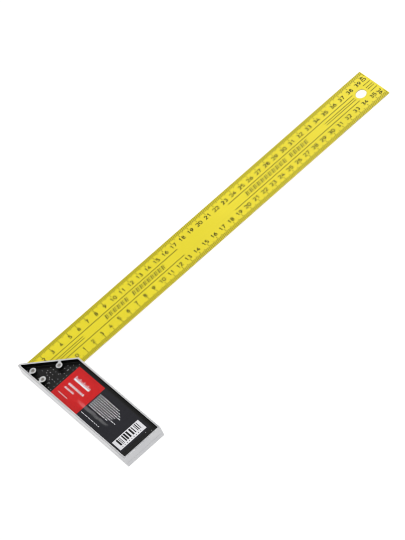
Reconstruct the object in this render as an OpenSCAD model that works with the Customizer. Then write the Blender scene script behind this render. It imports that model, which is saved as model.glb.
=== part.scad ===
// Try square: a die-cast aluminium handle with a recess in each face, a lacquered steel blade let into
// the handle's mitred end, three rivets that go through both, and a label in the front recess.
//
// X runs along the handle, away from the blade. Y runs along the blade, away from the handle.
// Z is up when the tool lies with its numbered face up.
// The origin is the centre of the bounding box's underside. Inside the modules, before place_tool(),
// X = 0 is the blade's outer edge and Y = 0 is the handle's outer face, where the outer scale starts.

/* [Handle] */
// Length of the handle along its outer face
handle_length = 150; // [150:1:200]
// Width of the handle from its outer face to its inner face, the working face
handle_width = 40; // [40:0.5:50]
// Thickness of the handle, which is the height of its rims and bosses
handle_thickness = 12; // [10:0.5:16]
// Length of the square heel before the mitre starts
heel_length = 2.7; // [2.5:0.1:3]
// Width of the rim around each recess
rim_width = 1.6; // [1.4:0.1:1.8]
// Thickness of the web between the two recesses
web_thickness = 3; // [2.6:0.1:5]
// Radius of the recesses' corners
recess_corner_radius = 0.6; // [0.2:0.1:0.8]

/* [Blade] */
// Width of the blade
blade_width = 40; // [36:0.5:46]
// Distance from the handle's outer face to the far end of the blade
blade_reach = 401; // [250:1:501]
// Thickness of the blade
blade_thickness = 1; // [0.8:0.1:1.6]
// Diameter of the hanging hole
hang_hole_diameter = 10; // [6:0.5:14]
// Distance from the centre of the hanging hole to the far end of the blade
hang_hole_inset = 16.4; // [12:0.1:30]

/* [Rivets] */
// Diameter of the bosses that carry the rivets
boss_diameter = 6; // [5.6:0.1:6.4]
// Width of the rib that joins each boss to its rim
boss_rib_width = 2.6; // [1.5:0.1:3]
// Diameter of the rivets
rivet_diameter = 3.2; // [2.5:0.1:3.6]
// Depth of a rivet's end below the top of its boss
rivet_sink = 0.3; // [0.1:0.1:0.6]
// Diameter of the dish in a rivet's end
rivet_dish_diameter = 2; // [1:0.1:2.3]
// Depth of the dish in a rivet's end
rivet_dish_depth = 0.4; // [0.2:0.1:0.8]
// Distance of the two outer bosses from the handle's outer face
outer_boss_y = 5.3; // [5:0.1:5.6]
// Distance of the heel boss from the blade's outer edge
heel_boss_x = 15.2; // [13:0.1:17]
// Distance of the middle boss from the blade's outer edge
middle_boss_x = 29.2; // [26:0.1:32]
// Distance of the mitre boss from the blade's outer edge
mitre_boss_x = 29.6; // [28:0.1:31]
// Distance of the mitre boss from the handle's outer face
mitre_boss_y = 23.8; // [22:0.1:24]

/* [Label] */
// Length of the label along the handle
label_length = 98; // [60:1:100]
// Width of the label
label_width = 33; // [20:1:34]
// Thickness of the label
label_thickness = 0.15; // [0.1:0.05:0.3]
// Distance from the blade's outer edge to the label
label_x = 42; // [42:0.5:46]
// Distance from the handle's outer face to the label
label_y = 2.5; // [2:0.1:3]

/* [Hidden] */
$fn = 96;

recess_depth = (handle_thickness - web_thickness) / 2;
recess_inset = rim_width + recess_corner_radius;
blade_underside = (handle_thickness - blade_thickness) / 2;
// The blade stops at the outer rim, which hides its end.
blade_seat_y = rim_width;
outer_rib_direction = -90;
mitre_rib_direction = 135;
// A cut reaches this far past the face that it opens.
over = 1;

// The X of the mitre, moved into the handle by inset, at height y.
function mitre_x(y, inset) = y - heel_length + inset * sqrt(2);

// The corners of the handle's outline moved inwards by inset, with the heel cut away to a point.
function inset_corners(inset) = [
    [mitre_x(inset, inset), inset],
    [handle_length - inset, inset],
    [handle_length - inset, handle_width - inset],
    [mitre_x(handle_width - inset, inset), handle_width - inset]
];

// Moves a child from the heel corner to the tool's own frame.
module place_tool() {
    translate([-handle_length / 2, -blade_reach / 2, 0]) children();
}

// A strip of the given half width along the line from one point to another.
module band(from, to, half_width) {
    run = to - from;
    translate(from)
        rotate(atan2(run[1], run[0]))
            translate([0, -half_width])
                square([norm(run), 2 * half_width]);
}

module handle_outline() {
    polygon([
        [0, 0],
        [handle_length, 0],
        [handle_length, handle_width],
        [mitre_x(handle_width, 0), handle_width],
        [0, heel_length]
    ]);
}

module recess_outline() {
    corners = inset_corners(recess_inset);
    polygon(corners);
    for (i = [0 : len(corners) - 1]) {
        translate(corners[i]) circle(r = recess_corner_radius);
        band(corners[i], corners[(i + 1) % len(corners)], recess_corner_radius);
    }
}

// Puts a child at each rivet, with the child's X axis towards the nearest rim.
module at_heel_rivet() {
    translate([heel_boss_x, outer_boss_y]) rotate(outer_rib_direction) children();
}

module at_middle_rivet() {
    translate([middle_boss_x, outer_boss_y]) rotate(outer_rib_direction) children();
}

module at_mitre_rivet() {
    translate([mitre_boss_x, mitre_boss_y]) rotate(mitre_rib_direction) children();
}

module at_every_rivet() {
    at_heel_rivet() children();
    at_middle_rivet() children();
    at_mitre_rivet() children();
}

// A boss and the rib that runs from it into the rim.
module boss_outline() {
    circle(d = boss_diameter);
    translate([0, -boss_rib_width / 2]) square([boss_diameter * 0.75, boss_rib_width]);
}

module recess() {
    linear_extrude(recess_depth + over)
        difference() {
            recess_outline();
            at_every_rivet() boss_outline();
        }
}

module rivet_hole() {
    translate([0, 0, -over]) cylinder(d = rivet_diameter, h = handle_thickness + 2 * over);
}

// The slot is as wide as the blade, and it is open at the heel, the mitre and the inner face.
module blade_slot() {
    translate([-over, blade_seat_y, blade_underside])
        cube([blade_width + over, handle_width, blade_thickness]);
}

module handle() {
    color("gainsboro")
        place_tool()
            difference() {
                linear_extrude(handle_thickness) handle_outline();
                translate([0, 0, handle_thickness - recess_depth]) recess();
                translate([0, 0, -over]) recess();
                blade_slot();
                at_every_rivet() rivet_hole();
            }
}

module blade() {
    color("gold")
        place_tool()
            difference() {
                translate([0, blade_seat_y, blade_underside])
                    cube([blade_width, blade_reach - blade_seat_y, blade_thickness]);
                translate([blade_width / 2, blade_reach - hang_hole_inset, 0])
                    cylinder(d = hang_hole_diameter, h = handle_thickness);
                at_every_rivet() rivet_hole();
            }
}

// A dish, widest at its mouth, which is at Z = 0.
module rivet_dish() {
    translate([0, 0, -rivet_dish_depth])
        cylinder(d1 = rivet_dish_diameter / 2, d2 = rivet_dish_diameter, h = rivet_dish_depth);
}

module rivet() {
    rivet_length = handle_thickness - 2 * rivet_sink;
    color("darkgray")
        translate([0, 0, rivet_sink])
            difference() {
                cylinder(d = rivet_diameter, h = rivet_length);
                translate([0, 0, rivet_length]) rivet_dish();
                mirror([0, 0, 1]) rivet_dish();
            }
}

module heel_rivet() {
    place_tool() at_heel_rivet() rivet();
}

module middle_rivet() {
    place_tool() at_middle_rivet() rivet();
}

module mitre_rivet() {
    place_tool() at_mitre_rivet() rivet();
}

module front_label() {
    color("firebrick")
        place_tool()
            translate([label_x, label_y, handle_thickness - recess_depth])
                cube([label_length, label_width, label_thickness]);
}

handle();
blade();
heel_rivet();
middle_rivet();
mitre_rivet();
front_label();
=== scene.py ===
"""Looks of the try square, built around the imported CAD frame.

The tool lies on a pale floor with its numbered face up. Shapes are written in millimetres from the heel
corner, where the blade's outer edge meets the handle's outer face. X runs along the handle, Y along the
blade and Z up from the floor. to_frame() turns them into metres in the CAD frame.
"""

import math
import random

import bmesh
import bpy
from mathutils import Matrix, Vector
from mathutils.geometry import tessellate_polygon


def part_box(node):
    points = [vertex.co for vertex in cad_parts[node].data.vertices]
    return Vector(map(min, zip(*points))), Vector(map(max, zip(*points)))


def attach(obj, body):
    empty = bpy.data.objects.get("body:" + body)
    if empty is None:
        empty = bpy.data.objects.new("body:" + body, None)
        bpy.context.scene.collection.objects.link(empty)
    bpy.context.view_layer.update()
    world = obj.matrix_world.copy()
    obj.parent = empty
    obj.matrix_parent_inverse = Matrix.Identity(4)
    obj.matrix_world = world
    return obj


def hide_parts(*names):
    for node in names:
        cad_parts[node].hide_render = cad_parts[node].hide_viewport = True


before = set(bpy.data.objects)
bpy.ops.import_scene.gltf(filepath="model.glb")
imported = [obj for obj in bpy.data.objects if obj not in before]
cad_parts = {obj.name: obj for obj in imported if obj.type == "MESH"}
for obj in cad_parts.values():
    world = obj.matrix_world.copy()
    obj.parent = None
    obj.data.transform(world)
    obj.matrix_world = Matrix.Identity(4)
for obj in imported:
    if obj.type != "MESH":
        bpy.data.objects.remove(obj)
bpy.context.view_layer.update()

MM = 0.001
BODY = "root"

# ---------------------------------------------------------------- sizes from the frame, in millimetres

HEEL_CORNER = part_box("handle")[0]


def corners_of(node):
    """A node's lowest and highest corners, in millimetres from the heel corner."""
    return [(corner - HEEL_CORNER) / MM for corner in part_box(node)]


def rivet_centre(node):
    low, high = corners_of(node)
    return Vector(((low.x + high.x) / 2, (low.y + high.y) / 2))


HANDLE_LENGTH, HANDLE_WIDTH, HANDLE_THICKNESS = corners_of("handle")[1]
BLADE_LOW, BLADE_HIGH = corners_of("blade")
BLADE_WIDTH = BLADE_HIGH.x
LABEL_LOW, LABEL_HIGH = corners_of("front_label")
RECESS_FLOOR = LABEL_LOW.z
RIVET_NODES = ["heel_rivet", "middle_rivet", "mitre_rivet"]
RIVET_LOW, RIVET_HIGH = corners_of(RIVET_NODES[0])
RIVET_RADIUS = (RIVET_HIGH.x - RIVET_LOW.x) / 2

# ---------------------------------------------------------------- sizes that the boxes don't hold

HEEL_LENGTH = 2.7  # the square end of the heel, before the mitre
RIM_WIDTH = 1.6
RECESS_CORNER = 0.6
BOSS_RADIUS = 3.0
RIB_HALF_WIDTH = 1.3
ROOT2 = math.sqrt(2)

HANG_HOLE_RADIUS = 5.0
HANG_HOLE_Y = BLADE_HIGH.y - 16.4

EDGE_ROUNDING = 0.3
CORNER_ROUNDING = 0.5
MOUTH_ROUNDING = 0.12
FLOOR_FILLET = 0.5
PARTING_LINE_Z = 4.6
PARTING_LINE_DEPTH = 0.2
PARTING_LINE_HALF_WIDTH = 0.3
BLADE_EDGE_ROUNDING = 0.12
BLADE_CORNER = 0.35

# Directions in which the handle's edges face, in degrees from +X.
END_SIDE = 0
INNER_SIDE = 90
MITRE_SIDE = 135
HEEL_SIDE = 180
OUTER_SIDE = 270

# ---------------------------------------------------------------- mesh helpers


def to_frame(bm):
    """Moves a mesh drawn in millimetres from the heel corner into the CAD frame."""
    bm.transform(Matrix.Translation(HEEL_CORNER) @ Matrix.Scale(MM, 4))


def add_piece(name, bm, materials, replaces=(), smooth_angle=40):
    """Makes an object of bm, with round strips shaded smooth and large flat faces kept flat."""
    bmesh.ops.remove_doubles(bm, verts=bm.verts, dist=1e-5)
    bmesh.ops.recalc_face_normals(bm, faces=bm.faces)
    for edge in bm.edges:
        edge.smooth = len(edge.link_faces) == 2 and edge.calc_face_angle() < math.radians(smooth_angle)
    for face in bm.faces:
        face.smooth = True
    to_frame(bm)
    mesh = bpy.data.meshes.new(name)
    bm.to_mesh(mesh)
    bm.free()
    for material in materials:
        mesh.materials.append(material)
    piece = bpy.data.objects.new(name, mesh)
    bpy.context.scene.collection.objects.link(piece)
    flatten = piece.modifiers.new("flat_faces", "WEIGHTED_NORMAL")
    flatten.keep_sharp = True
    flatten.weight = 100
    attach(piece, BODY)
    if replaces:
        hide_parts(*replaces)
    return piece


def add_loop(bm, points, z):
    return [bm.verts.new((x, y, z)) for x, y in points]


def join_loops(bm, lower, upper, material=0, skip=()):
    """Quads between two closed loops of the same length, except over the segments in skip."""
    count = len(lower)
    for i in range(count):
        if i in skip:
            continue
        j = (i + 1) % count
        face = bm.faces.new((lower[i], lower[j], upper[j], upper[i]))
        face.material_index = material


def fill_loops(bm, loops, material=0):
    """A flat face inside the first loop, less the other loops."""
    corners = [vert for loop in loops for vert in loop]
    for triangle in tessellate_polygon([[vert.co for vert in loop] for loop in loops]):
        face = bm.faces.new([corners[i] for i in triangle])
        face.material_index = material


def add_slab(bm, outline, low, high):
    """A flat plate of the given outline."""
    bottom = add_loop(bm, outline, low)
    top = add_loop(bm, outline, high)
    join_loops(bm, bottom, top)
    fill_loops(bm, [bottom])
    fill_loops(bm, [top])


def arc(centre, radius, start, end, steps):
    """Points on an arc, its angles in degrees, both ends included."""
    angles = [math.radians(start + (end - start) * i / steps) for i in range(steps + 1)]
    return [(centre[0] + radius * math.cos(a), centre[1] + radius * math.sin(a)) for a in angles]


def circle(centre, radius, steps=48):
    return arc(centre, radius, 0, 360, steps)[:-1]


def rounding(width, steps=4):
    """Pairs (inset, drop) down a quarter round, from the flat face to the wall."""
    angles = [math.radians(90 * i / steps) for i in range(steps + 1)]
    return [(width * (1 - math.sin(a)), width * (1 - math.cos(a))) for a in angles]


def rectangle(x0, x1, y0, y1):
    return [(x0, y0), (x1, y0), (x1, y1), (x0, y1)]


def rounded_rectangle(x0, x1, y0, y1, radius, steps=4):
    x0, x1, y0, y1 = x0 + radius, x1 - radius, y0 + radius, y1 - radius
    corners = [(x1, y1), (x0, y1), (x0, y0), (x1, y0)]
    arcs = [arc(corner, radius, 90 * i, 90 * i + 90, steps) for i, corner in enumerate(corners)]
    return [point for points in arcs for point in points]


# ---------------------------------------------------------------- material helpers


def colour(rgb):
    """A colour given in display values from 0 to 255, in the linear values that the shaders use."""
    linear = [c / 255 / 12.92 if c <= 10 else ((c / 255 + 0.055) / 1.055) ** 2.4 for c in rgb]
    return (*linear, 1.0)


class Surface:
    """A Principled material whose nodes work in millimetres from the CAD frame's origin."""

    def __init__(self, name, **constants):
        self.material = bpy.data.materials.new(name)
        self.material.use_nodes = True
        self.nodes = self.material.node_tree.nodes
        self.links = self.material.node_tree.links
        self.shader = self.nodes["Principled BSDF"]
        for socket, value in constants.items():
            self.shader.inputs[socket.replace("_", " ")].default_value = value
        place = self.nodes.new("ShaderNodeTexCoord")
        self.mm = self.stretched((1 / MM, 1 / MM, 1 / MM), place.outputs["Object"])

    def put(self, socket, value):
        if isinstance(value, bpy.types.NodeSocket):
            self.links.new(value, socket)
        else:
            socket.default_value = value

    def stretched(self, scale, vector=None):
        """Coordinates stretched by scale along each axis."""
        node = self.nodes.new("ShaderNodeMapping")
        node.inputs["Scale"].default_value = scale
        self.put(node.inputs["Vector"], self.mm if vector is None else vector)
        return node.outputs["Vector"]

    def place(self, axis):
        """Millimetres from the heel corner along one axis, 0 for X and 1 for Y."""
        node = self.nodes.new("ShaderNodeSeparateXYZ")
        self.put(node.inputs["Vector"], self.mm)
        return self.math("SUBTRACT", node.outputs[axis], HEEL_CORNER[axis] / MM)

    def noise(self, per_mm, detail=2, rough=0.5, vector=None):
        node = self.nodes.new("ShaderNodeTexNoise")
        node.inputs["Scale"].default_value = per_mm
        node.inputs["Detail"].default_value = detail
        node.inputs["Roughness"].default_value = rough
        self.put(node.inputs["Vector"], self.mm if vector is None else vector)
        return node.outputs["Fac"]

    def spread(self, value, low, high, to_low=0.0, to_high=1.0, smooth=False):
        """value from low to high, carried to to_low to to_high and held there."""
        node = self.nodes.new("ShaderNodeMapRange")
        node.interpolation_type = "SMOOTHSTEP" if smooth else "LINEAR"
        node.inputs["From Min"].default_value = low
        node.inputs["From Max"].default_value = high
        node.inputs["To Min"].default_value = to_low
        node.inputs["To Max"].default_value = to_high
        self.put(node.inputs["Value"], value)
        return node.outputs["Result"]

    def math(self, operation, first, second=0.0):
        node = self.nodes.new("ShaderNodeMath")
        node.operation = operation
        self.put(node.inputs[0], first)
        self.put(node.inputs[1], second)
        return node.outputs[0]

    def blend(self, share, first, second):
        """Between two colours, each a socket or display values."""
        node = self.nodes.new("ShaderNodeMix")
        node.data_type = "RGBA"
        self.put(node.inputs["Factor"], share)
        self.put(node.inputs["A"], colour(first) if isinstance(first, tuple) else first)
        self.put(node.inputs["B"], colour(second) if isinstance(second, tuple) else second)
        return node.outputs["Result"]

    def bump(self, height, depth_mm, strength=1.0):
        node = self.nodes.new("ShaderNodeBump")
        node.inputs["Strength"].default_value = strength
        node.inputs["Distance"].default_value = depth_mm * MM
        self.put(node.inputs["Height"], height)
        return node.outputs["Normal"]

    def set(self, **sockets):
        for name, value in sockets.items():
            self.put(self.shader.inputs[name.replace("_", " ")], value)
        return self.material


# ---------------------------------------------------------------- materials


# The handle's metal is painted darker between these two distances from its far end: painted shade.
PAINTED_SHADE_START, PAINTED_SHADE_FULL = 25, 4
PAINTED_SHADE_SHARE = 0.4


def ground_aluminium():
    """Ground cast aluminium: fine scratches along the handle, small pits and faint stains.

    The far end of the handle is painted a little darker, as painted shade.
    """
    s = Surface("ground_aluminium", Metallic=1.0)
    scratches = s.noise(1.0, 4, 0.6, s.stretched((0.06, 4.0, 4.0)))
    blotches = s.noise(0.08, 3, 0.55)
    pits = s.spread(s.noise(1.4, 2, 0.5), 0.70, 0.76)
    tone = s.blend(s.spread(blotches, 0.35, 0.7), (208, 208, 210), (220, 220, 220))
    tone = s.blend(s.math("MULTIPLY", s.spread(scratches, 0.45, 0.75), 0.35), tone, (186, 187, 189))
    tone = s.blend(s.math("MULTIPLY", pits, 0.4), tone, (120, 120, 122))
    # Painted shade: the tone darkens towards the far end of the handle, to a darker grey.
    shade_start, shade_full = HANDLE_LENGTH - PAINTED_SHADE_START, HANDLE_LENGTH - PAINTED_SHADE_FULL
    end = s.spread(s.place(0), shade_start, shade_full, 0.0, PAINTED_SHADE_SHARE, smooth=True)
    tone = s.blend(end, tone, (172, 173, 177))
    rough = s.spread(s.math("ADD", scratches, blotches), 0.6, 1.4, 0.32, 0.48)
    relief = s.math("ADD", scratches, s.math("MULTIPLY", pits, -0.8))
    return s.set(Base_Color=tone, Roughness=rough, Normal=s.bump(relief, 0.015, 0.7))


def black_lacquer():
    """Glossy black lacquer over the casting, with dust and small runs."""
    s = Surface("black_lacquer", Specular_IOR_Level=0.36)
    grain = s.noise(2.2, 4, 0.6)
    dust = s.spread(s.noise(0.3, 5, 0.65), 0.5, 0.85)
    tone = s.blend(s.math("MULTIPLY", dust, 0.6), (8, 8, 8), (34, 33, 31))
    rough = s.spread(s.math("ADD", grain, dust), 0.4, 1.3, 0.10, 0.28)
    return s.set(Base_Color=tone, Roughness=rough, Normal=s.bump(grain, 0.05, 0.8))


def rivet_steel():
    """Dull peened steel, stained in its dents."""
    s = Surface("rivet_steel", Metallic=1.0)
    dents = s.noise(1.6, 3, 0.6)
    stain = s.noise(0.8, 3, 0.6)
    tone = s.blend(s.spread(stain, 0.35, 0.65), (130, 126, 122), (154, 151, 147))
    rough = s.spread(dents, 0.3, 0.7, 0.38, 0.58)
    return s.set(Base_Color=tone, Roughness=rough, Normal=s.bump(dents, 0.06, 0.6))


def yellow_lacquer():
    """Yellow lacquer on a smooth steel strip, with a faint orange peel and a few rubbed places."""
    s = Surface("yellow_lacquer", Specular_IOR_Level=0.34)
    cloud = s.noise(0.014, 3, 0.5)
    rub = s.noise(0.15, 4, 0.6, s.stretched((1.0, 0.12, 1.0)))
    tone = s.blend(s.spread(cloud, 0.35, 0.65), (228, 212, 30), (234, 217, 36))
    tone = s.blend(s.spread(rub, 0.55, 0.9, 0.0, 0.3), tone, (216, 198, 46))
    rough = s.spread(rub, 0.3, 0.7, 0.30, 0.42)
    return s.set(Base_Color=tone, Roughness=rough, Normal=s.bump(s.noise(0.9, 2, 0.5), 0.01, 0.5))


def blade_edge():
    """The sheared edges of the blade: thin yellow lacquer, worn through to steel in streaks."""
    s = Surface("blade_edge", Specular_IOR_Level=0.4)
    wear = s.spread(s.noise(0.25, 4, 0.65, s.stretched((1.0, 1.0, 3.0))), 0.50, 0.60)
    tone = s.blend(wear, (206, 192, 74), (176, 172, 158))
    metal = s.math("MULTIPLY", wear, 0.8)
    rough = s.spread(wear, 0, 1, 0.44, 0.34)
    relief = s.bump(s.noise(2.0, 3), 0.02, 0.5)
    return s.set(Base_Color=tone, Metallic=metal, Roughness=rough, Normal=relief)


def printing_ink():
    """Dark brown printing ink, slightly uneven and a little worn."""
    s = Surface("printing_ink", Specular_IOR_Level=0.25)
    patches = s.noise(0.5, 4, 0.6)
    tone = s.blend(s.spread(patches, 0.45, 0.8), (20, 13, 3), (52, 40, 10))
    rough = s.spread(patches, 0.3, 0.7, 0.45, 0.62)
    return s.set(Base_Color=tone, Roughness=rough, Normal=s.bump(patches, 0.01, 0.5))


CREASE_X, CREASE_Y = 88.0, 9.5
CREASE_HALF_WIDTH = 5.5
CREASE_HALF_LENGTH = 36.0
CREASE_HEIGHT = 0.62
CREASE_FULL_HALF_LENGTH = 12.0  # the crease stands at its full height this far from its middle
CREASE_WANDER = 6.0
WAVE_SHARE = 1.2  # of the waves' height, against the crease's


def film_relief(s):
    """The soft waves and the one long crease with which the film is glued down."""
    waves = s.noise(0.045, 2, 0.4, s.stretched((0.7, 1.5, 1.0)))
    wander = s.math("MULTIPLY", s.noise(0.05, 2), CREASE_WANDER)
    line = CREASE_Y + CREASE_WANDER / 2
    across = s.math("ABSOLUTE", s.math("SUBTRACT", s.math("ADD", s.place(1), wander), line))
    along = s.math("ABSOLUTE", s.math("SUBTRACT", s.place(0), CREASE_X))
    profile = s.spread(across, 0.0, CREASE_HALF_WIDTH, 1.0, 0.0, smooth=True)
    fade = s.spread(along, CREASE_FULL_HALF_LENGTH, CREASE_HALF_LENGTH, 1.0, 0.0, smooth=True)
    return s.math("ADD", s.math("MULTIPLY", waves, WAVE_SHARE), s.math("MULTIPLY", profile, fade))


def label_film(name, dark, light):
    """Glossy printed film, slightly mottled."""
    s = Surface(name, Specular_IOR_Level=0.36)
    mottle = s.noise(0.35, 4, 0.6)
    tone = s.blend(s.spread(mottle, 0.3, 0.7), dark, light)
    rough = s.spread(mottle, 0.3, 0.7, 0.12, 0.18)
    return s.set(Base_Color=tone, Roughness=rough, Normal=s.bump(film_relief(s), CREASE_HEIGHT))


def floor_paper():
    """A sheet on a light table. Nearly all of its brightness is its own glow, so it takes no shadow."""
    s = Surface("floor_paper", Roughness=0.9, Specular_IOR_Level=0.1, Emission_Strength=0.96)
    s.shader.inputs["Emission Color"].default_value = (1.0, 1.0, 1.0, 1.0)
    return s.set(Base_Color=s.blend(s.noise(0.4, 3, 0.6), (86, 86, 86), (92, 92, 92)))


# ---------------------------------------------------------------- handle

METAL, LACQUER = 0, 1


def mitre_x(y, inset):
    """X of the mitre, moved into the handle by inset, at height y."""
    return y - HEEL_LENGTH + inset * ROOT2


def handle_outline(inset):
    """The handle's outline moved inwards, its corners rounded, and the segments that the slot opens."""
    r = CORNER_ROUNDING
    corners = [
        ((r, r), HEEL_SIDE, OUTER_SIDE),
        ((HANDLE_LENGTH - r, r), OUTER_SIDE, END_SIDE + 360),
        ((HANDLE_LENGTH - r, HANDLE_WIDTH - r), END_SIDE, INNER_SIDE),
        ((mitre_x(HANDLE_WIDTH - r, r), HANDLE_WIDTH - r), INNER_SIDE, MITRE_SIDE),
        ((r, r + HEEL_LENGTH - r * ROOT2), MITRE_SIDE, HEEL_SIDE),
    ]
    arcs = [arc(centre, r - inset, start, end, 4) for centre, start, end in corners]
    before_slot = [point for points in arcs[:3] for point in points]
    beside_slot = [(BLADE_WIDTH, HANDLE_WIDTH - inset), *arcs[3], *arcs[4]]
    points = [*before_slot, *beside_slot, (inset, BLADE_LOW.y)]
    return points, range(len(before_slot), len(before_slot) + len(beside_slot))


def boss_detour(centre, rim_direction, rim_distance, grow):
    """The stretch of a recess's outline that runs round a boss and its rib."""
    radius = BOSS_RADIUS - grow
    half = RIB_HALF_WIDTH - grow
    turn = math.degrees(math.asin(half / radius))
    out = math.radians(rim_direction)
    along = Vector((math.cos(out), math.sin(out)))
    across = Vector((-along.y, along.x))
    foot = centre + along * (rim_distance + grow)
    round_boss = arc(centre, radius, rim_direction - turn, rim_direction - 360 + turn, 40)
    return [tuple(foot - across * half), *round_boss, tuple(foot + across * half)]


def recess_outline(grow):
    """A recess's outline, with its walls moved outwards by grow. The bosses stand in from the rim."""
    inset = RIM_WIDTH + RECESS_CORNER
    radius = RECESS_CORNER + grow
    far_x, far_y = HANDLE_LENGTH - inset, HANDLE_WIDTH - inset
    heel, middle, mitre = [rivet_centre(node) for node in RIVET_NODES]
    mitre_distance = (mitre.x - mitre_x(mitre.y, 0)) / ROOT2 - RIM_WIDTH
    return [
        *arc((mitre_x(inset, inset), inset), radius, MITRE_SIDE, OUTER_SIDE, 12),
        *boss_detour(heel, OUTER_SIDE, heel.y - RIM_WIDTH, grow),
        *boss_detour(middle, OUTER_SIDE, middle.y - RIM_WIDTH, grow),
        *arc((far_x, inset), radius, OUTER_SIDE, END_SIDE + 360, 8),
        *arc((far_x, far_y), radius, END_SIDE, INNER_SIDE, 8),
        *arc((mitre_x(far_y, inset), far_y), radius, INNER_SIDE, MITRE_SIDE, 6),
        *boss_detour(mitre, MITRE_SIDE, mitre_distance, grow),
    ]


def slot_outline():
    """The blade slot, seen from above: it is open at the heel, the mitre and the inner face."""
    points, opened = handle_outline(0)
    open_side = [points[i] for i in opened] + [points[opened[-1] + 1]]
    return [*open_side, (BLADE_WIDTH, BLADE_LOW.y)]


def add_outer_wall(bm, height, wall):
    """The outer wall, from the slot up to the rim's rounded edge. Returns the rim's outer loop."""
    edge = [(inset, HANDLE_THICKNESS - drop) for inset, drop in reversed(rounding(EDGE_ROUNDING))]
    levels = [add_loop(bm, handle_outline(inset)[0], height(z)) for inset, z in [*wall, *edge]]
    for lower, upper in zip(levels, levels[1:]):
        join_loops(bm, lower, upper, METAL)
    return levels[-1]


def add_recess(bm, height):
    """The recess's eased mouth, walls, fillet and floor. Returns the rim's inner loop."""
    mouth = [(inset, HANDLE_THICKNESS - drop) for inset, drop in rounding(MOUTH_ROUNDING, 2)]
    fillet = [(-drop, RECESS_FLOOR + inset) for inset, drop in rounding(FLOOR_FILLET)]
    levels = [add_loop(bm, recess_outline(grow), height(z)) for grow, z in [*mouth, *fillet]]
    for number, (upper, lower) in enumerate(zip(levels, levels[1:])):
        join_loops(bm, upper, lower, METAL if number < len(mouth) - 1 else LACQUER)
    fill_loops(bm, [levels[-1]], LACQUER)
    return levels[0]


def add_rivet_bores(bm, height, slot_edge):
    """The bores from the rim down to the slot, their mouths eased. Returns their loops at both ends."""
    tops, feet = [], []
    for node in RIVET_NODES:
        centre = rivet_centre(node)
        top = add_loop(bm, circle(centre, RIVET_RADIUS + MOUTH_ROUNDING), height(HANDLE_THICKNESS))
        lip = add_loop(bm, circle(centre, RIVET_RADIUS), height(HANDLE_THICKNESS - MOUTH_ROUNDING))
        foot = add_loop(bm, circle(centre, RIVET_RADIUS), slot_edge)
        join_loops(bm, top, lip, METAL)
        join_loops(bm, lip, foot, METAL)
        tops.append(top)
        feet.append(foot)
    return tops, feet


def add_half(bm, height, wall):
    """One half of the casting, from the slot out to the rim. wall lists the outer wall's levels."""
    slot_edge = height(wall[0][1])
    outer = add_outer_wall(bm, height, wall)
    mouth = add_recess(bm, height)
    tops, feet = add_rivet_bores(bm, height, slot_edge)
    fill_loops(bm, [outer, mouth, *tops], METAL)
    fill_loops(bm, [add_loop(bm, slot_outline(), slot_edge), *feet], METAL)


PEBBLE_PITCH = 1.2
PEBBLE_RADIUS = 0.42
PEBBLE_RISE = 0.22
PEBBLE_SINK = 0.02
# Pebbles with bare-metal crowns, painted highlights: most on every third row and column before the label,
# a few elsewhere.
GLINT_EVERY = 3
GLINT_SHARE, GLINT_ELSEWHERE = 0.8, 0.02


def add_pebbles(bm, height, covered, seed):
    """Low domes cast in a grid over a recess's floor, where nothing covers it. Some have bare-metal crowns
    as painted highlights, glints of light on the pebbles.
    """
    rng = random.Random(seed)
    margin = RIM_WIDTH + FLOOR_FILLET + PEBBLE_RADIUS
    boss_margin = BOSS_RADIUS + FLOOR_FILLET + PEBBLE_RADIUS
    bosses = [rivet_centre(node) for node in RIVET_NODES]
    for column in range(int(HANDLE_LENGTH / PEBBLE_PITCH)):
        for row in range(int(HANDLE_WIDTH / PEBBLE_PITCH)):
            x, y = (column + 0.5) * PEBBLE_PITCH, (row + 0.5) * PEBBLE_PITCH
            across = margin < y < HANDLE_WIDTH - margin
            along = mitre_x(y, margin) < x < HANDLE_LENGTH - margin
            near_boss = any((Vector((x, y)) - boss).length < boss_margin for boss in bosses)
            if across and along and not near_boss and not covered(x, y):
                # A bare-metal crown here is a painted highlight, standing in for a glint of light.
                glint_place = x < LABEL_LOW.x and column % GLINT_EVERY == 0 and row % GLINT_EVERY == 0
                painted_glint = rng.random() < (GLINT_SHARE if glint_place else GLINT_ELSEWHERE)
                add_pebble(bm, (x, y), height, METAL if painted_glint else LACQUER)


def add_pebble(bm, centre, height, crown_material):
    foot = add_loop(bm, circle(centre, PEBBLE_RADIUS, 8), height(RECESS_FLOOR - PEBBLE_SINK))
    shoulder_height = height(RECESS_FLOOR + PEBBLE_RISE * 0.66)
    shoulder = add_loop(bm, circle(centre, PEBBLE_RADIUS * 0.72, 8), shoulder_height)
    crown = bm.verts.new((*centre, height(RECESS_FLOOR + PEBBLE_RISE)))
    join_loops(bm, foot, shoulder, LACQUER)
    fill_loops(bm, [foot], LACQUER)
    for i, vert in enumerate(shoulder):
        face = bm.faces.new((vert, shoulder[(i + 1) % len(shoulder)], crown))
        face.material_index = crown_material


def under_label(x, y):
    near = 0.5
    return LABEL_LOW.x - near < x < LABEL_HIGH.x + near and LABEL_LOW.y - near < y < LABEL_HIGH.y + near


def uncovered(x, y):
    return False


def front_height(z):
    return z


def back_height(z):
    return HANDLE_THICKNESS - z


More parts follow.
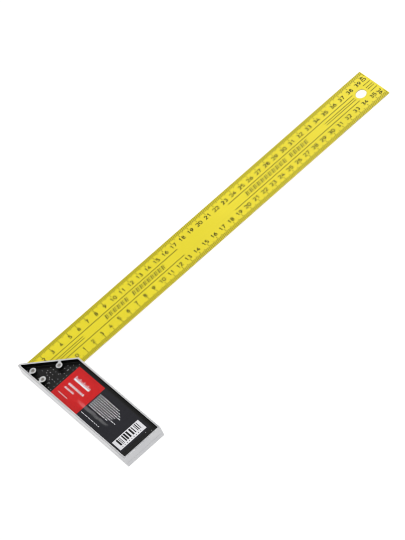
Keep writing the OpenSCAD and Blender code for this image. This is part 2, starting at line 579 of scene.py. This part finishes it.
def make_handle(materials):
    """The casting: two halves with a recess each, and the wall beside the slot between them."""
    slot_low, slot_high = BLADE_LOW.z, BLADE_HIGH.z
    parting = back_height(PARTING_LINE_Z)
    half = PARTING_LINE_HALF_WIDTH
    groove = [(0, parting - half), (PARTING_LINE_DEPTH, parting), (0, parting + half)]
    bm = bmesh.new()
    add_half(bm, front_height, [(0, slot_high)])
    add_half(bm, back_height, [(0, back_height(slot_low)), *groove])
    outside, opened = handle_outline(0)
    inside = slot_outline()
    for outline, skip in ((outside, opened), (inside, range(len(inside) - 2))):
        lower, upper = [add_loop(bm, outline, z) for z in (slot_low, slot_high)]
        join_loops(bm, lower, upper, METAL, skip)
    return add_piece("handle_casting", bm, materials, ["handle"])


def make_pebbles(materials):
    """The pebbled floors of both recesses."""
    bm = bmesh.new()
    add_pebbles(bm, front_height, under_label, 3)
    add_pebbles(bm, back_height, uncovered, 4)
    return add_piece("recess_pebbles", bm, materials)


# ---------------------------------------------------------------- rivets

# Radius and height of a peened end, from its middle outwards, measured from the end's face.
PEENED_END = [
    (0.4, -0.20),
    (0.7, -0.15),
    (0.95, -0.07),
    (1.15, -0.01),
    (1.3, 0.0),
    (1.46, -0.08),
    (1.56, -0.22),
]


PEENED_DEPTH = 0.4
TRUE_FROM = 1.4  # the radius from which a peened end is round
SWELL = 0.06


def uneven_circle(centre, radius, phase, steps=48):
    """A circle with a slight swell, turned by phase, or a true circle from TRUE_FROM outwards."""
    swell = SWELL if radius < TRUE_FROM else 0.0
    points = []
    for i in range(steps):
        angle = 2 * math.pi * i / steps
        uneven = math.sin(2 * angle + phase) + 0.6 * math.sin(5 * angle + 2 * phase)
        reach = radius * (1 + swell * uneven)
        points.append((centre.x + reach * math.cos(angle), centre.y + reach * math.sin(angle)))
    return points


def make_rivet(node, material, seed):
    """A rivet with a peened, dished end on each side, slightly uneven as a hammered end is."""
    rng = random.Random(seed)
    top, bottom = RIVET_HIGH.z, RIVET_LOW.z
    top_phase, bottom_phase = rng.uniform(0, 6.28), rng.uniform(0, 6.28)
    rings = [(radius, top + rise, top_phase) for radius, rise in PEENED_END]
    rings += [(RIVET_RADIUS, top - PEENED_DEPTH, 0.0), (RIVET_RADIUS, bottom + PEENED_DEPTH, 0.0)]
    rings += [(radius, bottom - rise, bottom_phase) for radius, rise in reversed(PEENED_END)]
    bm = bmesh.new()
    centre = rivet_centre(node)
    loops = [add_loop(bm, uneven_circle(centre, radius, phase), z) for radius, z, phase in rings]
    for lower, upper in zip(loops, loops[1:]):
        join_loops(bm, lower, upper)
    fill_loops(bm, [loops[0]])
    fill_loops(bm, [loops[-1]])
    return add_piece("peened_" + node, bm, [material], [node], smooth_angle=60)


# ---------------------------------------------------------------- blade

FACE, EDGE = 0, 1


def blade_loops(bm, inset, z):
    """The blade's outline, hanging hole and rivet holes, each moved into the metal by inset."""
    low, high = BLADE_LOW.y + inset, BLADE_HIGH.y - inset
    outline = rounded_rectangle(inset, BLADE_WIDTH - inset, low, high, BLADE_CORNER - inset)
    holes = [circle((BLADE_WIDTH / 2, HANG_HOLE_Y), HANG_HOLE_RADIUS + inset, 72)]
    holes += [circle(rivet_centre(node), RIVET_RADIUS + inset) for node in RIVET_NODES]
    return [add_loop(bm, points, z) for points in [outline, *holes]]


def make_blade(materials):
    """The blade, with flat lacquered faces and eased, sheared edges."""
    levels = [(inset, BLADE_HIGH.z - drop) for inset, drop in rounding(BLADE_EDGE_ROUNDING, 3)]
    levels += [(inset, BLADE_LOW.z + drop) for inset, drop in reversed(rounding(BLADE_EDGE_ROUNDING, 3))]
    bm = bmesh.new()
    layers = [blade_loops(bm, inset, z) for inset, z in levels]
    for above, below in zip(layers, layers[1:]):
        for upper, lower in zip(above, below):
            join_loops(bm, upper, lower, EDGE)
    fill_loops(bm, layers[0], FACE)
    fill_loops(bm, layers[-1], FACE)
    return add_piece("lacquered_blade", bm, materials, ["blade"])


# ---------------------------------------------------------------- print on the blade

INK_LIFT = 0.004
INK_THICKNESS = 0.02
TICK_WIDTH = 0.34
MILLIMETRE_TICK, HALF_TICK, CENTIMETRE_TICK = 4.0, 5.2, 6.8
NUMBER_HEIGHT = 4.4
NUMBER_ROW = 9.7  # from the blade's edge to the middle of its row of numbers
NUMBER_CLEARANCE = 1.6  # from the handle to the middle of the inner row's nought
LAST_NUMBER_INSET = 3.2
LINE_WIDTH = 0.6
LINE_OFFSETS = [-5.0, -1.2, 1.2, 5.0]  # of the four long lines, from the blade's middle
INNER_ZERO = round(HANDLE_WIDTH)
SCALE_LENGTH = 10 * math.floor(BLADE_HIGH.y / 10)

# Digits are drawn as strokes in a box one unit high and DIGIT_WIDTH wide, on the strokes' centre lines.
DIGIT_WIDTH = 0.62
DIGIT_ADVANCE = 0.90
STROKE = 0.19


class Print:
    """Ink on the front or back face of the blade."""

    def __init__(self, face):
        self.face = face
        self.bm = bmesh.new()

    def heights(self, layer):
        """The ink's two levels. A stroke over another is a little thicker, so that none coincide."""
        low, high = INK_LIFT, INK_LIFT + INK_THICKNESS * (1 + 0.25 * layer)
        if self.face == "front":
            return BLADE_HIGH.z + low, BLADE_HIGH.z + high
        return BLADE_LOW.z - low, BLADE_LOW.z - high

    def area(self, outline):
        add_slab(self.bm, outline, *self.heights(0))

    def stroke(self, points, closed, half, layer):
        """A ribbon of ink along a polyline, its corners mitred."""
        low, high = self.heights(layer)
        sections = []
        for left, right in zip(*stroke_sides(points, closed, half)):
            corners = ((left, low), (right, low), (right, high), (left, high))
            sections.append([self.bm.verts.new((*point, z)) for point, z in corners])
        following = sections[1:] + sections[:1] if closed else sections[1:]
        for here, after in zip(sections, following):
            join_loops(self.bm, here, after)
        if not closed:
            self.bm.faces.new(sections[0])
            self.bm.faces.new(sections[-1])

    def finish(self, name, ink):
        return add_piece(self.face + "_" + name, self.bm, [ink])


def stroke_sides(points, closed, half):
    """The two sides of a stroke, half its width from its centre line."""
    line = [Vector(point) for point in points]
    count = len(line)
    left, right = [], []
    for i, here in enumerate(line):
        before = line[i - 1] if closed or i > 0 else None
        after = line[(i + 1) % count] if closed or i < count - 1 else None
        into = (here - before).normalized() if before else (after - here).normalized()
        out = (after - here).normalized() if after else into
        normal_in, normal_out = Vector((-into.y, into.x)), Vector((-out.y, out.x))
        side = (normal_in + normal_out).normalized()
        reach = side * half / max(0.5, side.dot(normal_in))
        left.append(here + reach)
        right.append(here - reach)
    return left, right


def digit_strokes(digit):
    """The centre lines of a digit's strokes, each with whether it is closed."""
    w = DIGIT_WIDTH
    mid = w / 2
    if digit == 0:
        return [(arc((mid, 1 - mid), mid, 0, 180, 12) + arc((mid, mid), mid, 180, 360, 12), True)]
    if digit == 1:
        return [([(0.12, 0.74), (0.38, 1.0), (0.38, 0.0)], False)]
    if digit == 2:
        return [(arc((mid, 0.70), 0.30, 165, -35, 12) + [(0.02, 0.0), (w, 0.0)], False)]
    if digit == 3:
        upper, lower = arc((mid, 0.765), 0.235, 155, -80, 12), arc((mid, 0.275), 0.275, 80, -155, 14)
        return [(upper + lower, False)]
    if digit == 4:
        sail = [(0.42, 1.0), (0.0, 0.28), (w + 0.04, 0.28)]
        return [(sail, False), ([(0.44, 0.52), (0.44, 0.0)], False)]
    if digit == 5:
        flag = [(w - 0.04, 1.0), (0.10, 1.0), (0.06, 0.56)]
        return [(flag + arc((0.28, 0.31), 0.31, 125, -150, 16), False)]
    if digit == 6:
        stem = arc((0.66, 0.30), 0.65, 178, 107, 8) + [(0.52, 0.97)]
        return [(circle((mid, 0.30), 0.30, 20), True), (stem, False)]
    if digit == 7:
        return [([(0.0, 1.0), (w, 1.0), (0.20, 0.0)], False)]
    if digit == 8:
        return [(circle((mid, 0.28), 0.28, 20), True), (circle((mid, 0.775), 0.225, 18), True)]
    return [([(w - x, 1 - y) for x, y in points], closed) for points, closed in digit_strokes(6)]


def add_number(ink, text, middle, turn, height=NUMBER_HEIGHT):
    """A number centred on a point of the blade. turn is the direction in which it reads, from +X."""
    along = Vector((math.cos(math.radians(turn)), math.sin(math.radians(turn))))
    up = Vector((-along.y, along.x)) if ink.face == "front" else Vector((along.y, -along.x))
    scale = height / (1 + STROKE)
    width = (len(text) - 1) * DIGIT_ADVANCE + DIGIT_WIDTH
    for position, character in enumerate(text):
        for layer, (points, closed) in enumerate(digit_strokes(int(character))):
            placed = []
            for x, y in points:
                right = x + position * DIGIT_ADVANCE - width / 2
                placed.append(middle + (along * right + up * (y - 0.5)) * scale)
            ink.stroke(placed, closed, STROKE * scale / 2, layer)


def tick_length(millimetre):
    if millimetre % 10 == 0:
        return CENTIMETRE_TICK
    return HALF_TICK if millimetre % 5 == 0 else MILLIMETRE_TICK


def cleared_x(y):
    """How far along X the blade is clear of the handle's mitre at y."""
    return BLADE_WIDTH if y > HANDLE_WIDTH else y - TICK_WIDTH - HEEL_LENGTH


def make_ticks(face, ink_material):
    """Millimetre ticks along both edges, cut short where the mitre covers them."""
    ink = Print(face)
    half = TICK_WIDTH / 2
    for y in range(SCALE_LENGTH + 1):
        reach = min(tick_length(y), cleared_x(y))
        if reach > BLADE_EDGE_ROUNDING + TICK_WIDTH:
            ink.area(rectangle(BLADE_EDGE_ROUNDING, reach, y - half, y + half))
    for millimetre in range(1, SCALE_LENGTH - INNER_ZERO + 1):
        y = INNER_ZERO + millimetre
        start = BLADE_WIDTH - tick_length(millimetre)
        ink.area(rectangle(start, BLADE_WIDTH - BLADE_EDGE_ROUNDING, y - half, y + half))
    return ink.finish("millimetre_ticks", ink_material)


def make_numbers(face, ink_material):
    """Centimetre numbers along both edges, reading away from the handle. The last of each reads across."""
    ink = Print(face)
    across = 0 if face == "front" else 180
    rows = [(0, NUMBER_ROW, 2, -1.3), (INNER_ZERO, BLADE_WIDTH - NUMBER_ROW, 0, 1.5)]
    for zero, x, first, last_shift in rows:
        last = (SCALE_LENGTH - zero) // 10
        for centimetre in range(first, last):
            y = max(zero + 10 * centimetre, zero + NUMBER_CLEARANCE)
            add_number(ink, str(centimetre), Vector((x, y)), 90)
        add_number(ink, str(last), Vector((x + last_shift, SCALE_LENGTH - LAST_NUMBER_INSET)), across)
    return ink.finish("centimetre_numbers", ink_material)


def make_lines(face, ink_material):
    """The long lines down the blade's middle, broken where the words stood and at the hanging hole."""
    end = SCALE_LENGTH - 0.5
    outer_runs = [(0, 170), (230, HANG_HOLE_Y - 6), (HANG_HOLE_Y + 7, end)]
    inner_runs = [(0, 57.5), (342.5, HANG_HOLE_Y - 7), (HANG_HOLE_Y + 7, end)]
    ink = Print(face)
    for offset in LINE_OFFSETS:
        x = BLADE_WIDTH / 2 + offset
        for start, stop in outer_runs if abs(offset) > 3 else inner_runs:
            start = max(start, x + LINE_WIDTH + HEEL_LENGTH)
            ink.area(rectangle(x - LINE_WIDTH / 2, x + LINE_WIDTH / 2, start, stop))
    return ink.finish("middle_lines", ink_material)


# Where each word stood along the blade, its number of marks and their pitch.
WORD_PLACES = [(82.5, 6, 4.5), (114.0, 9, 4.2), (247.0, 11, 4.4), (299.0, 5, 4.4)]


def make_word_marks(face, ink_material):
    """Pairs of slanted bars in place of the wording between the lines. They spell nothing."""
    half_height, slant, gap = 2.6, 1.1, 1.9
    middle = BLADE_WIDTH / 2 - 0.2
    foot, head = middle + half_height, middle - half_height
    ink = Print(face)
    for start, marks, pitch in WORD_PLACES:
        for mark in range(marks):
            for offset, width in ((0.0, 0.9), (gap, 0.5)):
                y = start + mark * pitch + offset
                ink.area([(foot, y), (foot, y + width), (head, y + width + slant), (head, y + slant)])
    return ink.finish("word_marks", ink_material)


# ---------------------------------------------------------------- label

RED_LENGTH = 36.0
LABEL_CORNER = 0.4
LAYER = 0.012  # between two levels of print
PANEL_X, PANEL_Y, PANEL_LENGTH, PANEL_WIDTH = 83.6, 1.7, 12.0, 29.0


def label_layer(name, outlines, material, level, replaces=()):
    """Printed areas, given from the label's corner. Level 0 is the film itself."""
    low = LABEL_HIGH.z + (level - 4) * LAYER
    base = LABEL_LOW.z if level == 0 else low
    bm = bmesh.new()
    for outline in outlines:
        add_slab(bm, [(LABEL_LOW.x + x, LABEL_LOW.y + y) for x, y in outline], base, low + LAYER)
    return add_piece(name, bm, [material], replaces)


def dashes(x0, x1, y, height, rng, gap=0.7, shortest=1.2, longest=4.0):
    """A line of text as bars of word length."""
    bars = []
    x = x0
    while x < x1 - shortest:
        end = min(x1, x + rng.uniform(shortest, longest))
        bars.append(rounded_rectangle(x, end, y - height / 2, y + height / 2, height * 0.3, 2))
        x = end + gap
    return bars


def blocks(x0, x1, y, height, rng):
    """A bold line of text as upright blocks of uneven width."""
    bars = []
    x = x0
    while x < x1 - height / 3:
        end = min(x1, x + height * rng.uniform(0.4, 0.85))
        bars.append(rectangle(x, end, y - height / 2, y + height / 2 * rng.uniform(0.7, 1.0)))
        x = end + height * 0.42
    return bars


RULER_X, RULER_Y = 6.2, 21.2
RULER_BACK, RULER_SHORT, RULER_LONG = 1.5, 3.0, 4.4
RULER_PITCH, RULER_MARK, RULER_MARKS = 1.78, 0.8, 12


def ruler_sign():
    """The outline of a small ruler, a bar with long and short marks on it, in place of the heading."""
    end = RULER_X + (RULER_MARKS - 1) * RULER_PITCH + RULER_MARK
    outline = [(RULER_X, RULER_Y), (end, RULER_Y)]
    for mark in reversed(range(RULER_MARKS)):
        x = RULER_X + mark * RULER_PITCH
        height = RULER_LONG if mark % 3 == 0 else RULER_SHORT
        for across, up in ((RULER_MARK, RULER_BACK), (RULER_MARK, height), (0, height), (0, RULER_BACK)):
            outline.append((x + across, RULER_Y + up))
    return outline


def panel_bars(rng):
    """Dark bars of mixed widths across the white panel, and short marks. They encode nothing."""
    bars = []
    y = PANEL_Y + 3.2
    while y < PANEL_Y + PANEL_WIDTH - 3.4:
        width = rng.choice([0.6, 0.9, 1.3, 1.7])
        bars.append(rectangle(PANEL_X + 0.9, PANEL_X + 8.6, y, y + width))
        y += width + rng.choice([0.7, 1.0, 1.6])
    for mark in range(9):
        y = PANEL_Y + 3.6 + mark * 2.5
        bars.append(rectangle(PANEL_X + 9.6, PANEL_X + 10.9, y, y + 0.5))
    return bars


BODY_START, BODY_TOP, BODY_PITCH = 37.5, 26.2, 1.85
BODY_ENDS = [65, 67, 70, 71.5, 68.5, 65.5, 71.5, 63]  # where the lines of text end, from the top


def make_label(films):
    """The film with its red block, its marks in place of text and its white panel."""
    length, width = LABEL_HIGH.x - LABEL_LOW.x, LABEL_HIGH.y - LABEL_LOW.y
    film = rounded_rectangle(0, length, 0, width, LABEL_CORNER)
    red_block = rounded_rectangle(0, RED_LENGTH, 0, width, LABEL_CORNER)
    label_layer("label_film", [film], films["navy"], 0, ["front_label"])
    label_layer("label_red_block", [red_block], films["red"], 1)
    rng = random.Random(11)
    heading = [ruler_sign()]
    heading += blocks(6.2, 26.5, 16.0, 2.3, rng)
    heading += blocks(6.0, 18.8, 11.7, 1.8, rng)
    heading += dashes(5.2, 17.0, 5.0, 0.6, rng, gap=0.9, shortest=1.4, longest=3.2)
    label_layer("label_heading_marks", heading, films["white"], 2)
    body = dashes(BODY_START, 63.5, 4.6, 0.5, rng)
    for row, end in enumerate(BODY_ENDS):
        body += dashes(BODY_START, end, BODY_TOP - BODY_PITCH * row, 0.62, rng)
    label_layer("label_body_marks", body, films["white"], 1)
    panel = rectangle(PANEL_X, PANEL_X + PANEL_LENGTH, PANEL_Y, PANEL_Y + PANEL_WIDTH)
    label_layer("label_white_panel", [panel], films["white"], 1)
    label_layer("label_panel_bars", panel_bars(rng), films["bars"], 2)


# ---------------------------------------------------------------- stage, lights and camera


def make_floor():
    """A floor far wider than the tool."""
    bm = bmesh.new()
    bmesh.ops.create_grid(bm, x_segments=8, y_segments=8, size=3.0)
    mesh = bpy.data.meshes.new("floor")
    bm.to_mesh(mesh)
    bm.free()
    mesh.materials.append(floor_paper())
    floor = bpy.data.objects.new("floor", mesh)
    bpy.context.scene.collection.objects.link(floor)


def add_softbox(name, direction, distance, size, power):
    """A square soft light that looks at the tool from a direction."""
    light = bpy.data.lights.new(name, "AREA")
    light.shape = "SQUARE"
    light.size = size
    light.energy = power
    lamp = bpy.data.objects.new(name, light)
    towards = Vector(direction).normalized()
    lamp.location = towards * distance
    lamp.rotation_euler = towards.to_track_quat("Z", "Y").to_euler()
    bpy.context.scene.collection.objects.link(lamp)


def make_lights():
    """An even white room, a soft key light overhead and a panel behind the tool that gives its gloss."""
    world = bpy.data.worlds.new("studio")
    world.use_nodes = True
    sky = world.node_tree.nodes["Background"]
    sky.inputs["Color"].default_value = (1.0, 1.0, 1.0, 1.0)
    sky.inputs["Strength"].default_value = 0.66
    bpy.context.scene.world = world
    add_softbox("key", (0.2, 0.25, 0.95), 1.7, 0.6, 10)
    add_softbox("gloss_panel", (-0.61, 0.49, 0.62), 1.9, 0.7, 4)
    bpy.context.scene.view_settings.view_transform = "Standard"


CAMERA_AIM = Vector((-24.24, -31.16, 6.5)) * MM
CAMERA_DISTANCE = 2634.7 * MM
CAMERA_BEARING = -19.98  # from +X to the camera, in degrees
CAMERA_ELEVATION = 49.25
CAMERA_ROLL = -26.01
CAMERA_LENS = 206.3


def make_camera():
    """A long lens high on the handle's end, turned about its own axis as the tool was framed."""
    bearing, elevation = math.radians(CAMERA_BEARING), math.radians(CAMERA_ELEVATION)
    level = math.cos(elevation)
    back = Vector((math.cos(bearing) * level, math.sin(bearing) * level, math.sin(elevation)))
    data = bpy.data.cameras.new("camera")
    data.lens = CAMERA_LENS
    data.sensor_width = 36.0
    data.clip_start, data.clip_end = 0.05, 20.0
    camera = bpy.data.objects.new("camera", data)
    upright = back.to_track_quat("Z", "Y").to_matrix().to_4x4()
    roll = Matrix.Rotation(math.radians(CAMERA_ROLL), 4, "Z")
    camera.matrix_world = Matrix.Translation(CAMERA_AIM + back * CAMERA_DISTANCE) @ upright @ roll
    bpy.context.scene.collection.objects.link(camera)
    bpy.context.scene.camera = camera
    bpy.context.scene.cycles.filter_width = 1.0


# ---------------------------------------------------------------- the whole tool

handle_coats = [ground_aluminium(), black_lacquer()]
make_handle(handle_coats)
make_pebbles(handle_coats)
steel = rivet_steel()
for number, rivet_node in enumerate(RIVET_NODES):
    make_rivet(rivet_node, steel, number)
make_blade([yellow_lacquer(), blade_edge()])
scale_ink = printing_ink()
for blade_face in ("front", "back"):
    make_ticks(blade_face, scale_ink)
    make_numbers(blade_face, scale_ink)
    make_lines(blade_face, scale_ink)
make_word_marks("front", scale_ink)
make_label(
    {
        "navy": label_film("label_navy", (18, 18, 26), (24, 24, 33)),
        "red": label_film("label_red", (199, 8, 12), (208, 14, 18)),
        "white": label_film("label_white", (226, 226, 230), (236, 236, 240)),
        "bars": label_film("label_bars", (10, 10, 13), (20, 20, 24)),
    }
)

make_floor()
make_lights()
make_camera()
